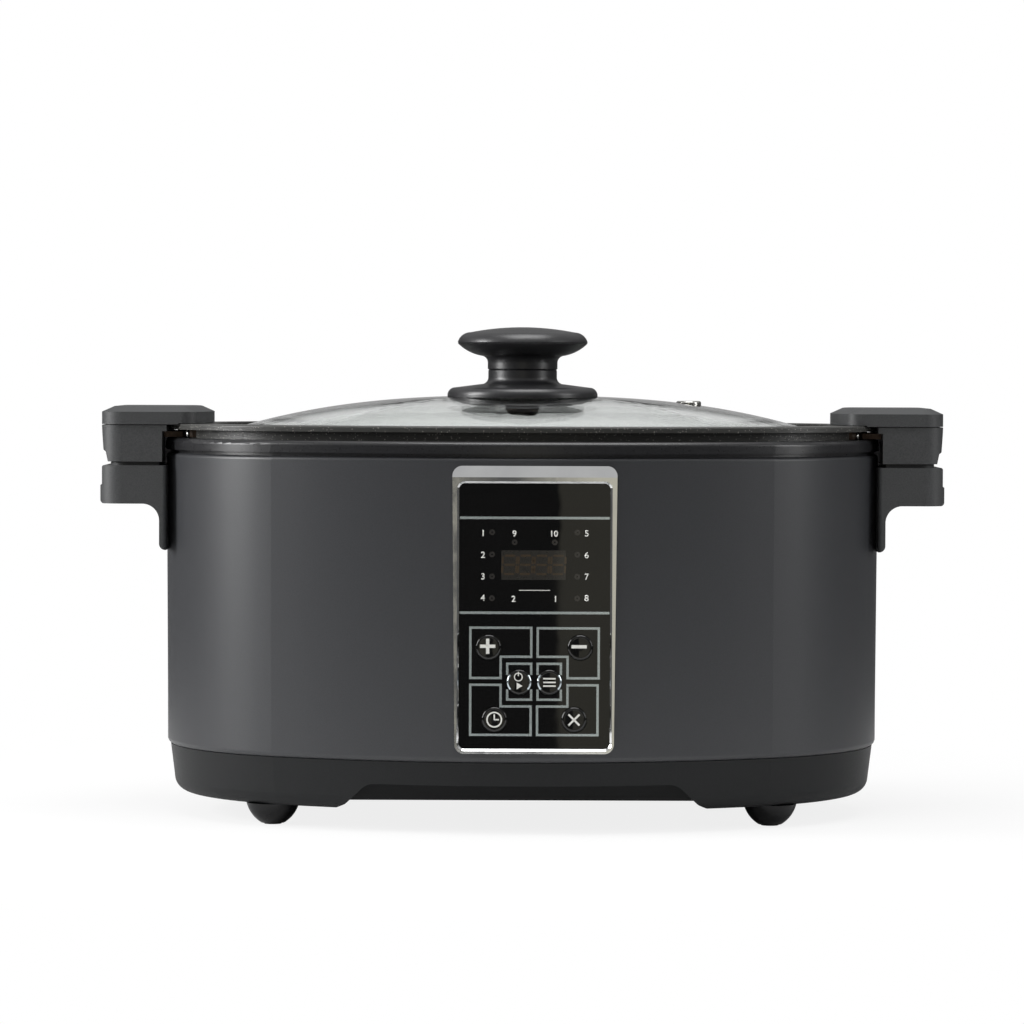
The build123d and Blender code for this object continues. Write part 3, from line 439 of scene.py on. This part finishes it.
NODE_FINISH = {
    "outer_shell": enamel,
    "top_trim_ring": trim_satin,
    "base_plinth": plinth_grain,
    "inner_well": sheet,
    "heating_element": sheathed_element(),
    "heating_plate": machined_aluminium(),
    "plate_spacers": zinc,
    "heat_shield": sheet,
    "support_posts": zinc,
    "thermal_fuse": glazed_ceramic(),
    "fuse_clip": zinc,
    "sensor_housing": sheet,
    "sensor_spring": spring_steel(),
    "sensor_plunger": polished_aluminium(),
    "foot_pads": black_rubber(),
    "underside_screws": zinc,
    "side_handle_screws": zinc,
    "pot_handle_screws": zinc,
    "panel_bezel": bright_chrome(),
    "panel_fascia": acrylic,
    "panel_carrier": plinth_grain,
    "control_board": board_green,
    "display_module": epoxy,
    "indicator_lights": tinted_lens(),
    "key_switches": epoxy,
    "board_screws": zinc,
    "power_board": board_green,
    "power_relay": blue_relay_case(),
    "power_transformer": laminated_core(),
    "board_pillars": plinth_grain,
    "mains_inlet": moulded_inlet_nylon(),
    "inlet_pins": rolled_brass(),
    "mains_wires": brown_pvc(),
    "cooking_pot": speckled_nonstick(),
    "pot_brackets": heat_tinted_steel(),
    "pot_rivets": polished_aluminium(),
    "lid_glass": toughened_glass(),
    "lid_rim_band": stainless,
    "steam_vent": stainless,
    "knob_base": knob_satin,
    "knob_grip": knob_satin,
    "knob_cap": knob_satin,
    "knob_washer": silicone_washer(),
    "knob_screw": heat_tinted_steel(),
}
for name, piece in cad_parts.items():
    material = NODE_FINISH.get(name)
    if name.startswith("foot_") and name != "foot_pads":
        material = foot_nylon
    elif name.startswith(("side_handle_l", "side_handle_r", "pot_handle_l", "pot_handle_r", "pot_handle_c")):
        material = handle_grain
    elif name.startswith("key_") and name != "key_switches":
        material = acrylic
    piece.data.materials.clear()
    piece.data.materials.append(material)


# ---------------------------------------------------------------- printing on the panel
fascia_low, fascia_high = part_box("panel_fascia")
FRONT = fascia_low.y                              # the acrylic's front face
PANEL_X = (fascia_low.x + fascia_high.x) / 2      # the panel's middle
INK = 0.03 * MM                                   # how far ink stands off the face
FRAME_LINE = 1.2                                  # width of the lines round the keys
ROWS = (156.2, 145.0, 133.9, 122.9)               # heights of the numbers beside the lamps
DIGIT_SHARE = 0.73                                # height of a numeral as a share of its font size
INK_SPREAD = 0.05                                 # how much bolder the numerals are than the font
MIDDLE_KEYS = 79.7                                # height of the two keys in the middle
KEY_EDGE = (6.2, 0.9, 3.6)                        # radius, width and half height of the arcs on them
KEY_GAP = 3.7                                     # half the break in the lines that meet those keys


def bar(x, z, long, wide, turn=0.0):
    """Flat bar, drawn lying down: x across the panel, z up it, in millimetres."""
    bpy.ops.object.select_all(action="DESELECT")
    bpy.ops.mesh.primitive_plane_add(size=1, location=(x * MM, z * MM, 0), rotation=(0, 0, turn))
    bpy.context.object.scale = (long * MM, wide * MM, 1)
    bpy.ops.object.transform_apply(location=True, rotation=True, scale=True)
    return bpy.context.object


def ring(x, z, radius, wide, sides=40):
    """Flat ring."""
    bpy.ops.object.select_all(action="DESELECT")
    bpy.ops.mesh.primitive_circle_add(vertices=sides, radius=radius * MM, location=(x * MM, z * MM, 0),
                                      fill_type="NGON")
    bpy.ops.object.transform_apply(location=True, rotation=True, scale=True)
    bpy.ops.object.mode_set(mode="EDIT")
    bpy.ops.mesh.select_all(action="SELECT")
    bpy.ops.mesh.inset(thickness=wide * MM)
    bpy.ops.mesh.delete(type="FACE")
    bpy.ops.object.mode_set(mode="OBJECT")
    return bpy.context.object


def pick_faces(piece, wanted):
    """Selects the faces whose centres pass a test, and opens the piece for editing."""
    bpy.ops.object.mode_set(mode="OBJECT")
    for face in piece.data.polygons:
        face.select = wanted(face.center)
    for edge in piece.data.edges:
        edge.select = False
    for vertex in piece.data.vertices:
        vertex.select = False
    for face in piece.data.polygons:
        if face.select:
            for index in face.vertices:
                piece.data.vertices[index].select = True
    bpy.ops.object.mode_set(mode="EDIT")
    bpy.ops.mesh.select_mode(type="FACE")


def outline(left, right, low, high, notch=None, key_gap=False):
    """Printed outline of a rectangle. A notch (x, z, side, end) cuts one corner away, and a key gap breaks
    its upright lines where a middle key comes through them."""
    piece = bar((left + right) / 2, (low + high) / 2, right - left, high - low)
    bpy.ops.object.mode_set(mode="EDIT")
    if notch:
        x, z, side, end = notch
        bpy.ops.mesh.select_all(action="SELECT")
        bpy.ops.mesh.bisect(plane_co=(x * MM, 0, 0), plane_no=(1, 0, 0))
        bpy.ops.mesh.select_all(action="SELECT")
        bpy.ops.mesh.bisect(plane_co=(0, z * MM, 0), plane_no=(0, 1, 0))
        pick_faces(piece, lambda at: (at.x - x * MM) * side > 0 and (at.y - z * MM) * end > 0)
        bpy.ops.mesh.delete(type="FACE")
    bpy.ops.mesh.select_all(action="SELECT")
    bpy.ops.mesh.dissolve_faces()
    bpy.ops.mesh.select_all(action="SELECT")
    bpy.ops.mesh.inset(thickness=FRAME_LINE * MM)
    bpy.ops.mesh.delete(type="FACE")
    if key_gap:
        for z in (MIDDLE_KEYS - KEY_GAP, MIDDLE_KEYS + KEY_GAP):
            bpy.ops.mesh.select_all(action="SELECT")
            bpy.ops.mesh.bisect(plane_co=(0, z * MM, 0), plane_no=(0, 1, 0))
        pick_faces(piece, lambda at: abs(at.y - MIDDLE_KEYS * MM) < KEY_GAP * MM)
        bpy.ops.mesh.delete(type="FACE")
    bpy.ops.object.mode_set(mode="OBJECT")
    return piece


def number(text, x, z, high, align="CENTER"):
    """Printed number."""
    bpy.ops.object.select_all(action="DESELECT")
    bpy.ops.object.text_add(location=(x * MM, z * MM, 0))
    piece = bpy.context.object
    piece.data.body = text
    piece.data.size = high * MM / DIGIT_SHARE
    piece.data.offset = INK_SPREAD * MM
    piece.data.align_x = align
    piece.data.align_y = "CENTER"
    bpy.ops.object.convert(target="MESH")
    bpy.ops.object.transform_apply(location=True, rotation=True, scale=True)
    return bpy.context.object


def join(name, pieces):
    """Makes one piece of several."""
    bpy.ops.object.select_all(action="DESELECT")
    for piece in pieces:
        piece.select_set(True)
    bpy.context.view_layer.objects.active = pieces[0]
    if len(pieces) > 1:
        bpy.ops.object.join()
    pieces[0].name = name
    return pieces[0]


def apply(piece, kind, **settings):
    """Puts one modifier on a piece and applies it."""
    bpy.ops.object.select_all(action="DESELECT")
    piece.select_set(True)
    bpy.context.view_layer.objects.active = piece
    modifier = piece.modifiers.new(kind, kind)
    for name, value in settings.items():
        setattr(modifier, name, value)
    bpy.ops.object.modifier_apply(modifier=modifier.name)


def stand(piece, thick):
    """Stands flat work up against the acrylic's front, and gives it its thickness."""
    apply(piece, "SOLIDIFY", thickness=thick, offset=1.0)
    bpy.ops.object.select_all(action="DESELECT")
    piece.select_set(True)
    bpy.context.view_layer.objects.active = piece
    piece.rotation_euler = (math.pi / 2, 0, 0)
    piece.location = (PANEL_X, FRONT, 0)
    bpy.ops.object.transform_apply(location=True, rotation=True, scale=True)


def dress(piece, material, body):
    """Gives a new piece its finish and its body."""
    piece.data.materials.clear()
    piece.data.materials.append(material)
    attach(piece, body)


rules = join("panel_rules", [bar(0, 164.2, 77.0, 1.3), bar(0, 115.4, 77.0, 1.3)])
stand(rules, INK)
dress(rules, silver, "base")

frames = join("key_frames", [
    outline(-33.5, -1.0, 81.2, 108.3, notch=(-16.7, 92.2, 1, -1)),
    outline(1.1, 33.7, 81.2, 108.1, notch=(16.5, 92.2, -1, -1)),
    outline(-33.5, -1.2, 51.9, 78.9, notch=(-16.7, 67.8, 1, 1)),
    outline(0.9, 33.2, 51.9, 78.8, notch=(16.5, 67.8, -1, 1)),
    outline(-14.5, -1.0, 70.1, 89.8, key_gap=True),
    outline(1.1, 14.3, 70.1, 89.8, key_gap=True),
])
stand(frames, INK)
dress(frames, silver, "base")

legends = [number(str(1 + row), -25.4, z, 3.3, "RIGHT") for row, z in enumerate(ROWS)]
legends += [number(str(5 + row), 25.6, z, 3.3, "LEFT") for row, z in enumerate(ROWS)]
legends += [number("9", -10.4, 156.0, 3.2), number("10", 9.8, 156.0, 3.2)]
legends += [number("2", -10.8, 122.4, 3.2), number("1", 10.8, 122.4, 3.2), bar(0, 127.0, 16.0, 0.35)]
legends = join("panel_numbers", legends)
stand(legends, INK)
dress(legends, white, "base")


# ---------------------------------------------------------------- printing on the keys
def key_print(key, name, pieces, material):
    """Lays printed pieces on the domed front of a key, from work drawn round the key's middle."""
    low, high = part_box(key)
    piece = join(name, pieces)
    bpy.ops.object.mode_set(mode="EDIT")
    bpy.ops.mesh.select_all(action="SELECT")
    bpy.ops.mesh.quads_convert_to_tris()
    bpy.ops.mesh.subdivide(number_cuts=3)
    bpy.ops.object.mode_set(mode="OBJECT")
    piece.rotation_euler = (math.pi / 2, 0, 0)
    piece.location = ((low.x + high.x) / 2, low.y - 1.0 * MM, (low.z + high.z) / 2)
    bpy.ops.object.transform_apply(location=True, rotation=True, scale=True)
    apply(piece, "SHRINKWRAP", target=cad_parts[key], wrap_method="PROJECT", use_project_y=True,
          use_positive_direction=True, offset=INK)
    dress(piece, material, key)


def edge_arcs(radius, wide, reach):
    """Two arcs, left and right, where the frame's line runs over the edge of a key."""
    piece = ring(0, 0, radius, wide, 64)
    pick_faces(piece, lambda at: abs(at.y) > reach * MM)
    bpy.ops.mesh.delete(type="FACE")
    bpy.ops.object.mode_set(mode="OBJECT")
    return piece


def triangle(x, z, radius, turn):
    """Filled triangle."""
    bpy.ops.object.select_all(action="DESELECT")
    bpy.ops.mesh.primitive_circle_add(vertices=3, radius=radius * MM, location=(x * MM, z * MM, 0),
                                      rotation=(0, 0, turn), fill_type="NGON")
    bpy.ops.object.transform_apply(location=True, rotation=True, scale=True)
    return bpy.context.object


key_print("key_plus", "plus_mark", [bar(-0.4, 0.6, 7.9, 1.7), bar(-0.4, 0.6, 1.7, 7.9)], white)
key_print("key_minus", "minus_mark", [bar(-0.6, 0.5, 7.9, 1.7)], white)
key_print("key_start", "start_mark", [ring(-0.4, 2.7, 2.25, 0.5), bar(-0.4, 4.3, 0.55, 2.2),
                                      triangle(-0.2, -1.9, 2.0, -math.pi / 2)], white)
key_print("key_start", "start_edge", [edge_arcs(*KEY_EDGE)], silver)
key_print("key_menu", "menu_mark", [bar(0, z, 6.4, 0.75) for z in (-1.9, 0.0, 1.9)], white)
key_print("key_menu", "menu_edge", [edge_arcs(*KEY_EDGE)], silver)
key_print("key_delay", "delay_mark", [ring(0, 0, 4.1, 0.75), bar(0, 1.3, 0.75, 2.9),
                                      bar(1.1, 0, 2.5, 0.75)], white)
key_print("key_cancel", "cancel_mark", [bar(0, 0, 8.0, 1.0, math.pi / 4),
                                        bar(0, 0, 8.0, 1.0, -math.pi / 4)], white)


# ---------------------------------------------------------------- display and lamps
def digit(x, z):
    """Seven segments of one display digit, each a bar with pointed ends."""
    half_wide, half_high, thick, lean = 4.6, 4.7, 1.05, 0.05
    segments = []
    for level in (-1, 0, 1):
        segments.append(bar(x + level * half_high * lean, z + level * half_high, 2 * half_wide - 3.6, thick))
    for side in (-1, 1):
        for level in (-0.5, 0.5):
            segments.append(bar(x + side * (half_wide - 1.0) + level * half_high * lean,
                                z + level * half_high, half_high - 0.5, thick, math.pi / 2 - lean))
    piece = join("digit", segments)
    bpy.ops.object.mode_set(mode="EDIT")
    bpy.ops.mesh.select_all(action="SELECT")
    bpy.ops.mesh.bevel(offset=0.48 * thick * MM, affect="VERTICES")
    bpy.ops.object.mode_set(mode="OBJECT")
    return piece


window = bar(-0.6, 139.95, 33.1, 15.2)
bpy.ops.object.mode_set(mode="EDIT")
bpy.ops.mesh.select_all(action="SELECT")
bpy.ops.mesh.bevel(offset=0.6 * MM, segments=3, affect="VERTICES")
bpy.ops.object.mode_set(mode="OBJECT")
window.name = "display_window"
stand(window, 0.02 * MM)
dress(window, smoked_window(), "base")

digits = [digit(x, 140.1) for x in (-12.9, -4.8, 3.6, 12.1)]
digits += [ring(-0.6, z, 0.55, 0.54, 16) for z in (137.6, 142.4)]
digits = join("display_digits", digits)
stand(digits, INK)
dress(digits, unlit_amber(), "base")

LAMPS = [(side * 21.9, z) for side in (-1, 1) for z in (156.8, 145.4, 134.1, 122.9)]
LAMPS += [(-10.3, 151.7), (10.3, 151.7)]
lenses = join("lamp_lenses", [ring(x, z, 1.5, 1.1, 32) for x, z in LAMPS])
stand(lenses, INK)
dress(lenses, tinted_lens(), "base")

# ---------------------------------------------------------------- floor and backdrop
bpy.ops.object.select_all(action="DESELECT")
bpy.ops.mesh.primitive_circle_add(vertices=128, radius=0.62, fill_type="NGON", location=(0, 0, 0))
floor = bpy.context.object
floor.name = "floor"
paper = bpy.data.materials.new("white_paper")
paper.use_nodes = True
tree = paper.node_tree
tree.nodes.clear()
path = add(tree, "ShaderNodeLightPath")
place = add(tree, "ShaderNodeTexCoord").outputs["Object"]
reach = add(tree, "ShaderNodeVectorMath", {0: place}, operation="LENGTH")
fade = add(tree, "ShaderNodeMapRange", {"Value": reach.outputs["Value"], "From Min": 0.25, "From Max": 0.5,
                                        "To Min": 0.84, "To Max": 1.0})
share = add(tree, "ShaderNodeMath", {0: fade.outputs["Result"], 1: path.outputs["Is Camera Ray"]},
            operation="MULTIPLY")
lit = add(tree, "ShaderNodeBsdfDiffuse", {"Color": linear("#ececec")})
glow = add(tree, "ShaderNodeEmission", {"Color": (1, 1, 1, 1), "Strength": 1.0})
mixed = add(tree, "ShaderNodeMixShader", {0: share.outputs["Value"], 1: lit.outputs["BSDF"],
                                          2: glow.outputs["Emission"]})
add(tree, "ShaderNodeOutputMaterial", {"Surface": mixed.outputs["Shader"]})
floor.data.materials.append(paper)

studio = bpy.data.worlds.new("studio")
scene.world = studio
studio.use_nodes = True
tree = studio.node_tree
tree.nodes.clear()
path = add(tree, "ShaderNodeLightPath")
direction = add(tree, "ShaderNodeSeparateXYZ", {0: add(tree, "ShaderNodeTexCoord").outputs["Generated"]})
x, y, z = direction.outputs["X"], direction.outputs["Y"], direction.outputs["Z"]


def rise(value, start, end, low=0.0, high=1.0):
    """Level that goes from one value to another while a part of the direction goes from start to end."""
    return add(tree, "ShaderNodeMapRange", {"Value": value, "From Min": start, "From Max": end,
                                            "To Min": low, "To Max": high}).outputs["Result"]


def combine(operation, first, second):
    """One sum, product or other operation of two levels."""
    return add(tree, "ShaderNodeMath", {0: first, 1: second}, operation=operation).outputs["Value"]


# What shiny surfaces see: black flags beside the backdrop, a ceiling, and two cards beside the front
backdrop = rise(y, 0.955, 0.985, 0.0, 0.35)
ceiling = rise(z, 0.25, 0.6, 0.0, 0.45)
across = combine("DIVIDE", x, combine("MULTIPLY", y, -1.0))
right_card = combine("MULTIPLY", rise(across, 0.0103, 0.0113), rise(across, 0.13, 0.12))
left_card = combine("MULTIPLY", rise(across, -0.0148, -0.0158), rise(across, -0.13, -0.12))
cards = combine("MULTIPLY", combine("ADD", right_card, left_card), rise(y, -0.93, -0.95))
cards = combine("MULTIPLY", cards, combine("MULTIPLY", rise(z, -0.20, -0.18), rise(z, 0.20, 0.18)))
dim = combine("ADD", combine("ADD", backdrop, ceiling), 0.10)
cards = combine("MULTIPLY", cards, path.outputs["Is Glossy Ray"])


def for_rays(kind, others, level):
    """Level for one kind of ray, and another for the rest."""
    return add(tree, "ShaderNodeMapRange", {"Value": path.outputs[kind], "To Min": others,
                                            "To Max": level}).outputs["Result"]


level = for_rays("Is Glossy Ray", 0.33, dim)
level = for_rays("Is Transmission Ray", level, rise(y, -0.3, 0.3, 0.15, 1.0))
level = for_rays("Is Camera Ray", level, 1.0)
plain = add(tree, "ShaderNodeBackground", {"Color": (1, 1, 1, 1), "Strength": level})
warm = add(tree, "ShaderNodeBackground", {"Color": (0.50, 0.475, 0.38, 1.0), "Strength": cards})
both = add(tree, "ShaderNodeAddShader", {0: plain.outputs["Background"], 1: warm.outputs["Background"]})
add(tree, "ShaderNodeOutputWorld", {"Surface": both.outputs["Shader"]})
